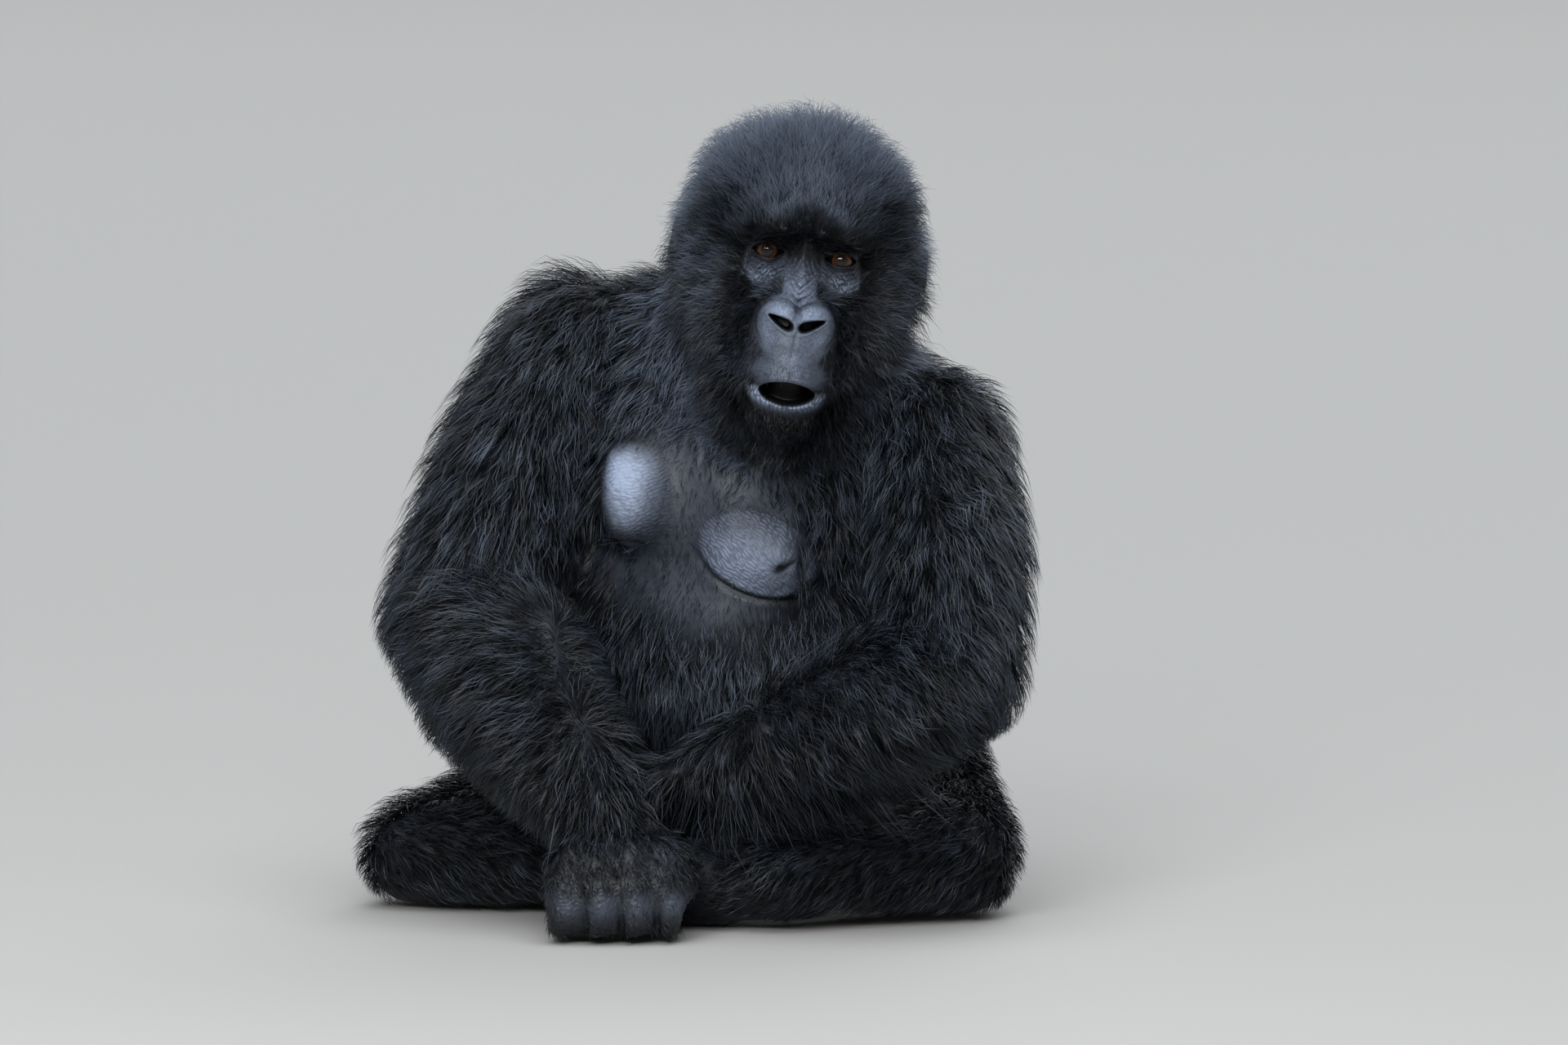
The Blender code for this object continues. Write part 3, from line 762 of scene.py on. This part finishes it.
def strands(roots, normals, lie, length, lift, width, droop, gather, wild):
    """Centre lines and half widths of the hairs, as arrays of (hair, station, xyz), and for
    each hair a random number of its lock."""
    count = len(roots)
    across = unit(np.cross(normals, lie))
    leaders, lock = locks_of(roots, LOCK)
    drift = rng.normal(0, 1, (len(leaders), 4))
    sway = (0.30 * drift[lock, 0] + 0.24 * rng.normal(0, 1, count)) * wild
    rise = lift + (np.radians(8) * drift[lock, 1] + np.radians(7) * rng.normal(0, 1, count)) * wild
    length = length * np.exp(0.16 * drift[lock, 2] + 0.16 * rng.normal(0, 1, count) - 0.02)
    heading = unit(lie + across * sway[:, None])
    lines = np.empty((count, STATIONS, 3))
    lines[:, 0] = roots - normals * ROOT_DEPTH
    spot = lines[:, 0].copy()
    curl = (0.25 * drift[lock, 3] + rng.normal(0, 0.22, count)) * wild
    phase = rng.uniform(-0.8, 0.8, count)
    for station in range(1, STATIONS):
        share = (station - 0.5) / (STATIONS - 1)
        angle = rise * (1.25 - 0.75 * share)
        way = heading * np.cos(angle)[:, None] + normals * np.sin(angle)[:, None]
        way = way + across * (curl * np.sin(4.5 * share + phase))[:, None]
        way[:, 2] -= droop * share
        spot = spot + unit(way) * (length / (STATIONS - 1))[:, None]
        lines[:, station] = spot
    for station in range(1, STATIONS):
        share = station / (STATIONS - 1)
        pull = gather * share**1.3
        lead = lines[leaders[lock], station] - lines[leaders[lock], 0]
        offset = lines[:, 0] - lines[leaders[lock], 0]
        meet = lines[:, 0] + lead * (length / length[leaders[lock]])[:, None] - 0.75 * offset
        lines[:, station] += (meet - lines[:, station]) * pull[:, None]
    roll = rng.normal(0, 0.7, count)
    flat = across * np.cos(roll)[:, None] + normals * np.sin(roll)[:, None]
    sheets = flat[:, None, :] * (width[:, None] * TAPER / 2)[:, :, None]
    return lines, sheets, rng.normal(0, 1, len(leaders))[lock]


def cut_short(line):
    """Halves a hair, towards its root."""
    line[1:] = line[0] + 0.5 * (line[1:] - line[0])


def tuck_in(lines, outline, slack):
    """Bends a hair whose tip would stand out of the coat's outline by more than its slack back
    into it. One that this would draw across to another limb is cut short instead, and so is one
    whose middle stands out."""
    for line, spare in zip(lines, slack):
        tip = line[-1]
        spot, normal, _, far = outline.find_nearest(Vector(tip))
        if far > spare and (Vector(tip) - spot).dot(normal) > -0.6 * far:
            push = (tip - np.array(spot)) * (1 - spare / far)
            if np.linalg.norm(tip - push - line[0]) > 1.04 * np.linalg.norm(tip - line[0]):
                cut_short(line)
            else:
                line[1:] -= push * BEND[:, None]
        middle = Vector(line[2])
        spot, normal, _, far = outline.find_nearest(middle)
        if far > spare + 0.007 and (middle - spot).dot(normal) > 0:
            cut_short(line)


def ribbons(name, lines, flat, uv, shade):
    """Turns hairs into one mesh of tapering ribbons, each with its own patch of the map."""
    count, body = len(lines), STATIONS - 1
    corners = 2 * body + 1
    points = np.empty((count, corners, 3))
    points[:, 0 : 2 * body : 2] = lines[:, :body] - flat[:, :body]
    points[:, 1 : 2 * body : 2] = lines[:, :body] + flat[:, :body]
    points[:, 2 * body] = lines[:, body]
    pattern = []
    for a in range(0, 2 * body - 2, 2):
        pattern += [(a, a + 1, a + 3), (a, a + 3, a + 2)]
    pattern.append((2 * body - 2, 2 * body - 1, 2 * body))
    faces = np.array(pattern)[None] + (np.arange(count) * corners)[:, None, None]
    faces = faces.reshape(-1, 3)
    mesh = bpy.data.meshes.new(name)
    mesh.vertices.add(count * corners)
    mesh.vertices.foreach_set("co", points.ravel())
    mesh.loops.add(len(faces) * 3)
    mesh.loops.foreach_set("vertex_index", faces.ravel())
    mesh.polygons.add(len(faces))
    mesh.polygons.foreach_set("loop_start", np.arange(0, len(faces) * 3, 3))
    mesh.polygons.foreach_set("loop_total", np.full(len(faces), 3))
    mesh.update(calc_edges=True)
    patch = np.zeros((count, corners, 2))
    patch[:, :, 0] = np.array([-1, 1] * body + [0]) * MAP_PATCH
    patch[:, :, 1] = np.repeat(np.linspace(-1, 1, STATIONS), 2)[:corners] * MAP_PATCH
    patch = np.clip(patch + uv[:, None, :], 0, 1).reshape(-1, 2)
    layer = mesh.uv_layers.new(name=MAP)
    layer.data.foreach_set("uv", patch[faces.ravel()].ravel())
    # each hair is dark at the root as painted shade and pale at the tip as painted highlight
    paint(mesh, shade[:, None] * np.repeat(ROOT_SHADE_TIP_HIGHLIGHT, 2)[None, :corners])
    mesh.materials.append(FUR)
    mesh.shade_smooth()
    obj = bpy.data.objects.new(name, mesh)
    bpy.context.scene.collection.objects.link(obj)
    return obj, len(faces)


def paint(mesh, paleness):
    values = mesh.attributes.new(PALENESS, "FLOAT", "POINT")
    values.data.foreach_set("value", paleness.ravel())


def unwrap(skin):
    """Unwraps the skin's own shape into the map that skin and coat share."""
    bpy.context.view_layer.objects.active = skin
    skin.select_set(True)
    skin.data.uv_layers.new(name=MAP)
    bpy.ops.object.mode_set(mode="EDIT")
    bpy.ops.mesh.select_all(action="SELECT")
    bpy.ops.uv.smart_project(angle_limit=math.radians(66), island_margin=0.002)
    bpy.ops.object.mode_set(mode="OBJECT")
    skin.select_set(False)
    return array_of(skin.data.uv_layers[MAP].data, "uv", 2)


# ---- fur: the whole coat ----
def survey(skin, outline, owner_of):
    """The skin as arrays, and what the coat has to know at each of its points."""
    body = SimpleNamespace(outline=outline)
    mesh = skin.data
    normals, edges = normals_of(mesh), edges_of(mesh)
    body.points, body.tris = points_of(mesh), triangles_of(mesh)
    loops = triangles_of(mesh, "loops")  # before the unwrapping
    body.corner_uv = unwrap(skin)[loops]
    body.owner = owner_of(body.points)
    _, room = nearest_faces(outline, body.points)
    body.room = spread_out(room, edges, 4)  # metres out to the coat's outline
    body.soft = unit(spread_out(normals, edges, 6))
    body.lie = lie_of_coat(body.points, body.soft, body.owner, edges)
    body.local = to_face(body.points)
    body.x, body.z = chest_place(body.points)
    body.height = body.points[:, 2]
    # 1 on a part of the body and 0 elsewhere, some with a soft edge
    body.head = on_nodes(body.owner, "head")
    body.arms = on_nodes(body.owner, "upper", "forearm")
    body.ends = on_nodes(body.owner, "hand", "foot")
    body.ahead = step(body.soft @ FRONT, 0.0, 0.5)
    body.chest = on_nodes(body.owner, "trunk") * body.ahead
    body.thin = chest_front(body.x, body.z)
    body.face = step(-body.local[:, 1], -50, -40) * body.head
    body.brow = body.face * bump(body.local[:, 0], body.local[:, 2], 0, 28, 36, 16)
    body.by_ear = sum(1 - step(away, 0.040, 0.060) for away in from_ears(body.points))
    # where arm and breast meet
    body.seam = bump(body.x, body.z, -214, -250, 22, 75) * step(-body.z, 160, 200)
    # below 1 on the face's bare skin
    body.bare = np.where(body.face > 0, bare_face(body.local[:, 0], body.local[:, 2]), 9.0)
    return body


def growth(body):
    """How thickly the hairs stand."""
    weight = 0.35 + 0.65 * step(body.room, 0.004, 0.02)
    weight[body.head] = 2.6 + 1.2 * (1 - step(body.bare[body.head], 1.2, 2.4))
    weight[body.ends] = 1.7
    weight *= 1 - 0.75 * on_nodes(body.owner, "hand_right") * (1 - step(body.height * 1000, 42, 70))
    # the bare face with some bristles on the upper lip, and the thick brow
    lip = np.hypot(body.local[:, 0] / 40, (body.local[:, 2] + 111) / 13)
    bristle = 0.30 * (1 - step(lip, 0.7, 1.1))
    weight *= 1 - body.face * (1 - step(body.bare, 0.94, 1.10)) * (1 - bristle)
    weight *= 1 + 1.2 * body.brow
    # what lies on the floor, the thinly haired chest and the bare breasts with a ragged edge
    weight *= 1 - 0.9 * (1 - step(body.height, 0.012, 0.03)) * step(-body.soft[:, 2], 0.5, 0.9)
    weight *= 1 - 0.3 * body.chest * body.thin
    left, right = breasts(body.x, body.z)
    ragged = 0.30 * wrinkles(body.x, body.z, 7.0, 90, 60) - 0.15
    ragged += 0.5 * (left > 0.985) * step(-body.z, 300, 316)
    weight *= 1 - 0.985 * body.chest * (1 - step(np.minimum(left, right) + ragged, 0.74, 1.08))
    return np.where(body.arms, np.maximum(weight, 0.8), weight)


def shortest(body):
    """Metres that a hair measures at least."""
    least = body.head * (0.003 + 0.016 * step(body.bare, 0.85, 1.9))
    least += body.ends * (0.004 + 0.011 * step(body.height, 0.040, 0.085))
    least += 0.006 * body.chest * body.thin + 0.004 * body.brow
    least = np.maximum(least, 0.018 * body.arms + 0.012 * body.seam)
    return np.maximum(least, 0.026 * body.by_ear)


def fringe(body):
    """1 where long hair hangs from under the forearms."""
    under = on_nodes(body.owner, "forearm") * step(-body.soft[:, 2], -0.1, 0.7)
    return under * (1 - step(-body.x, 170, 240)) * (1 - step(body.x, 90, 150))


def greyer(body):
    """Paleness added to the coat of right shoulder, chest and belly."""
    grey = 1.5 * bump(body.x, body.z, -128, -120, 34, 75) * body.ahead
    grey += 0.09 * body.chest * body.thin
    grey += 0.45 * body.chest * bump(body.x, body.z, -90, -420, 120, 70)
    return grey * ~body.head


def painted_shade(body):
    """Factor on the coat's paleness: painted shade on the head's front, round the face and low down.
    """
    dim = 1 - 0.70 * body.face * (1 - step(body.bare, 1.0, 3.0))
    dim *= 0.50 + 0.50 * step(body.height, 0.10, 0.42)
    return dim * (1 - 0.15 * body.head * (1 - step(body.local[:, 1], 40, 90)))


def combed(body, read):
    """All hairs in their place, as strands() gives them; read() takes a field to the roots."""
    gap, crown, hang = read(body.room), read(body.head.astype(float)), read(fringe(body))
    upright = crown - crown * step(read(body.local[:, 1]), 50, 110)  # not down the nape
    lift = np.radians(20 + 20 * step(gap, 0.006, 0.03))
    length = 0.003 + np.maximum(gap - 0.001, 0.0012) / np.sin(lift) * 0.96
    length = np.maximum(length, read(shortest(body)))
    length *= 1 + 0.7 * hang
    length *= 1 - 0.55 * read(body.face * (1 - step(body.bare, 0.95, 1.15)))
    lift = lift + np.radians(30) * upright * step(gap, 0.004, 0.014)
    length *= 1 - 0.30 * upright * step(gap, 0.006, 0.020)
    width = STRAND_WIDTH * (0.6 + 0.4 * step(length, 0.01, 0.05)) * 1.0
    lines, flat, tone = strands(
        read(body.points), unit(read(body.soft)), unit(read(body.lie)), length, lift,
        width=width * (1 - 0.30 * crown),
        droop=0.9 * step(length, 0.02, 0.07),
        gather=0.30 + 0.28 * step(length, 0.03, 0.07),
        wild=1 + 0.9 * crown,
    )
    front = read(body.face) * (read(face_oval(body.local)) < 1.25)
    slack = np.abs(rng.normal(0, 0.0025, STRANDS))
    slack += 0.003 * np.abs(rng.normal(0, 1, STRANDS)) * crown
    slack += 0.010 * hang + 0.012 * front + 0.006 * (gap < 0.008)
    slack += 0.010 * read(body.by_ear + body.seam)
    tuck_in(lines, body.outline, slack)
    lines[:, :, 2] = np.maximum(lines[:, :, 2], LOWEST_HAIR)
    return lines, flat, tone


def build_coat(skin, outline, owner_of):
    """Paints the skin, grows the whole coat on it, and parts the coat into pieces."""
    body = survey(skin, outline, owner_of)
    paint(skin.data, skin_paleness(body.points, body.local, body.owner))
    chosen, share = scattered(body.points, body.tris, growth(body), STRANDS)

    def read(field):
        return at_roots(field, body.tris, chosen, share)

    lines, flat, tone = combed(body, read)
    shade = 0.16 + 0.21 * tone + 0.14 * rng.normal(0, 1, STRANDS)
    # painted light from above: hair on the head is paler where its skin faces up
    shade += 2.5 * read(body.head.astype(float)) * step(read(body.soft[:, 2]), 0.0, 0.8)
    shade += read(greyer(body))
    # painted shade round the face, on the head's front and low on the body
    shade = np.clip(shade, 0.02, 3.2) * read(painted_shade(body))
    uv = (body.corner_uv[chosen] * share[:, :, None]).sum(axis=1)
    home, across = body.owner[body.tris[chosen, 0]], read(body.points)[:, 0]
    for name, members in COAT_PIECES.items():
        mine = np.flatnonzero(np.isin(home, [FLESH.index(m) for m in members]))
        mine = mine[np.argsort(across[mine])]
        shares = np.array_split(mine, 1 + len(mine) // PIECE_LIMIT)
        for number, part in enumerate(shares):
            label = name if len(shares) == 1 else f"{name}_{number + 1}"
            piece, triangles = ribbons(label, lines[part], flat[part], uv[part], shade[part])
            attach(piece, "root")
            print(label, triangles, "triangles")


# ---- the skin's colours, with painted light and shade ----
def bare_face(x, z):
    """Below 1 where the face has no hair: round the eyes, down the nose and round the mouth."""
    ax = np.abs(x)
    parts = (
        np.hypot((ax - 37) / 23, (z + 14) / 23),
        np.hypot(ax / 17, (z + 30) / 34),
        np.hypot((ax - 16) / 27, (z + 71) / 27),
        np.hypot(ax / 30, (z + 88) / 24),
        np.hypot(ax / 36, (z + 116) / 18),
        np.hypot((x - 2) / 41, (z + 140) / 19),
    )
    return np.min(parts, axis=0)


def face_paleness(x, z):
    ax = np.abs(x)
    soft = 0.12 * step(-z, 84, 100)
    tone = 0.05 + 0.28 * (1 - step(nose_heart(x, z) + soft, 0.90, 1.05 + 2 * soft))
    # painted highlights on the tops of the nose's lobes and on its flanks below them
    tone += 0.30 * bump(ax, z, 18, -59, 13, 8) + 0.18 * bump(ax, z, 28, -86, 7, 14)
    # painted light on the bridge and under the eyes, where the skin catches the light from above
    tone += 0.66 * bump(x, z, 0, -32, 22, 19) + 0.74 * bump(ax, z, 37, -28, 18, 11)
    tone += 0.34 * bump(x, z, 0, -117, 34, 13) + 0.14 * bump(ax, z, 24, -50, 12, 13)
    tone += 0.08 * bump(ax, z, 44, -95, 12, 22)
    tone *= 0.74 + 0.50 * wrinkles(x, z, 3.0, 30, 170)
    # painted shade in the creases under the eyes and down the bridge, following the relief's wrinkles
    tone *= 1 - 0.85 * (1 - wrinkles(ax, z, 4.2, 55, 45)) * bump(ax, z, 37, -26, 22, 16)
    tone *= 1 - 0.6 * (1 - wrinkles(x, z, 3.6, 90, 40)) * bump(x, z, 0, -24, 13, 18)
    rim = ridge(lower_lip(x, z), 0.98, 0.19) * step(-z, 131, 139)
    tone += (0.16 + 0.85 * wrinkles(x, z, 4.2, 0, 35)) * (0.90 - 0.006 * x) * rim
    # painted shade: black inside the mouth and the nostrils
    tone *= step(mouth_oval(x, z), 0.9, 1.08) * step(nostrils(x, z), 0.8, 1.15)
    tone *= 0.15 + 0.85 * step(-z, -2, 12)
    return 0.83 * tone


def chest_paleness(x, z):
    left, right = breasts(x, z)
    chest = 0.025 + 0.11 * chest_front(x, z)
    # left breast: its own pale grey, with a painted highlight low on it that fades towards her left
    lit_side = (1 - step(left, 0.62, 1.00)) * (1 - 0.6 * step(x, -45, 8)) * step(-z, 262, 300)
    grey_and_lit = 0.22 * (1 - step(left, 0.8, 1.0)) + 0.45 * lit_side * bump(x, z, -72, -322, 48, 34)
    chest = np.maximum(chest, grey_and_lit)
    # right breast: pale grey skin with painted light, brightest at the top and towards her right,
    # painted shade lower down and towards her left
    lit_side = (1 - step(right, 0.40, 1.08)) * (1 - 0.66 * step(x, -188, -152))
    chest = np.maximum(chest, lit_side * (1.25 - 0.75 * step(-z, 210, 290)))
    # darker along the wrinkles: on her left breast this is painted shade in the relief's creases
    lined = np.where(x > -130, wrinkles(x, z, 3.7, 42, 34), wrinkles(x, z, 4.0, 96, 40))
    chest *= 0.76 + 0.44 * lined
    chest *= 1 - 0.8 * bump(x, z, -25, -319, 7, 6)
    # painted shade in the groove beside the nipple
    chest *= 1 - 0.7 * bump(x, z, -15, -317, 13, 4, 28)
    chest *= 1 - 0.35 * bump(x, z, 12, -306, 22, 30)
    # painted shade along the fold under the left breast
    return chest * (1 - 0.6 * ridge(left, 0.98, 0.04) * step(-z, 310, 330))


def hand_paleness(x, z):
    """Worn paler on the knuckles."""
    worn = 0.17 * np.clip(sum(bump(x, z, finger, 40, 14, 14) for finger in FINGERS), 0, 1)
    worn += 0.08 * bump(x, z, 14, 92, 15, 13) + 0.08 * bump(x, z, 48, 84, 13, 13)
    return worn + 0.017


def skin_paleness(points, local, owner):
    """0 where the skin is black, 1 where it is pale grey; face and chest also carry painted light and
    shade.
    """
    pale = np.full(len(points), 0.04)
    in_face = on_nodes(owner, "head") & (local[:, 1] < 45)
    pale[in_face] = face_paleness(local[in_face, 0], local[in_face, 2])
    for name, place, tone in (
        ("trunk", chest_place, chest_paleness),
        ("hand_right", hand_place, hand_paleness),
    ):
        mine = on_nodes(owner, name)
        pale[mine] = tone(*place(points[mine]))
    return np.clip(pale, 0, 1.4)


# ---- skin and ears ----
def build_skin():
    skin, outline, owner_of = build_body()
    sculpt_face(skin)
    sculpt_chest(skin, owner_of)
    sculpt_hand(skin, owner_of)
    skin.data.shade_smooth()
    skin.data.materials.clear()
    skin.data.materials.append(SKIN)
    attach(skin, "root")
    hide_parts(*FLESH)
    return skin, outline, owner_of


def dress_ears():
    for name in EARS:
        ear = NODES[name].data
        ear.materials.clear()
        ear.materials.append(SKIN)
        ear.shade_smooth()


# ---- studio ----
def build_floor():
    """Level round the animal, curving up far away."""
    # metres from the middle and up
    profile = [(0.01, 0), (20, 0), (30, 0), (34, 0.8), (37, 2.6), (39, 5), (40, 8), (40.5, 12)]
    n = 96
    turns = np.linspace(0, 2 * math.pi, n, endpoint=False)
    points = [(r * math.cos(t), r * math.sin(t), h) for r, h in profile for t in turns]
    faces = []
    for start in range(0, n * (len(profile) - 1), n):
        for k in range(n):
            after = (k + 1) % n
            faces.append((start + k, start + after, start + n + after, start + n + k))
    middle = tuple(range(n - 1, -1, -1))
    grey = principled("floor", (0.37, 0.362, 0.35), 0.9)
    floor = object_from("floor", points, faces + [middle], grey)
    floor.data.shade_smooth()


def add_lamp(light, place, aim):
    """Stands a lamp at a place relative to what it is aimed at."""
    lamp = bpy.data.objects.new(light.name, light)
    bpy.context.scene.collection.objects.link(lamp)
    lamp.location = aim + Vector(place)
    lamp.rotation_euler = (aim - lamp.location).to_track_quat("-Z", "Y").to_euler()


def build_lights():
    """Soft cool light, most of it from above, with a softbox high in front."""
    world = bpy.data.worlds.new("studio")
    bpy.context.scene.world = world
    world.use_nodes = True
    background = world.node_tree.nodes["Background"]
    background.inputs["Color"].default_value = (0.93, 0.97, 1.0, 1)
    background.inputs["Strength"].default_value = 0.25
    chest = Vector(FACE) - Vector((0, 0, 0.25))
    for name, place, spread, power in (
        ("sky", (0.2, -0.4, 2.6), 60, 2.6),
        ("key", (-0.9, -2.0, 1.9), 22, 0.5),
        ("back", (0.9, 2.2, 2.0), 50, 1.2),
    ):
        light = bpy.data.lights.new(name, "SUN")
        light.angle = math.radians(spread)
        light.energy = power
        light.color = (0.92, 0.96, 1.0)
        add_lamp(light, place, chest)
    light = bpy.data.lights.new("softbox", "AREA")
    light.shape = "RECTANGLE"
    light.size, light.size_y, light.energy = 1.9, 0.5, 45
    add_lamp(light, (-0.6, -2.7, 1.25), chest)


def build_camera():
    """In front of her, looking slightly down from far off, with the head in the upper half."""
    tilt, distance = math.radians(6.0), 8.0
    aim = Vector((FACE.x - 0.021, FACE.y, FACE.z - 0.274))
    data = bpy.data.cameras.new("camera")
    data.sensor_width, data.lens = 36, 180  # mm
    data.clip_end = 500
    camera = bpy.data.objects.new("camera", data)
    bpy.context.scene.collection.objects.link(camera)
    back = Vector((0, -math.cos(tilt), math.sin(tilt)))
    camera.location = aim + back * distance
    camera.rotation_euler = (-back).to_track_quat("-Z", "Y").to_euler()
    bpy.context.scene.camera = camera


# ---- putting it together ----
skin, outline, owner_of = build_skin()
for eye_name, eye_side in zip(EYES, (-1, 1)):
    build_eye(eye_name, eye_side)
dress_ears()
build_coat(skin, outline, owner_of)
build_floor()
build_lights()
build_camera()
bpy.context.scene.view_settings.view_transform = "Standard"
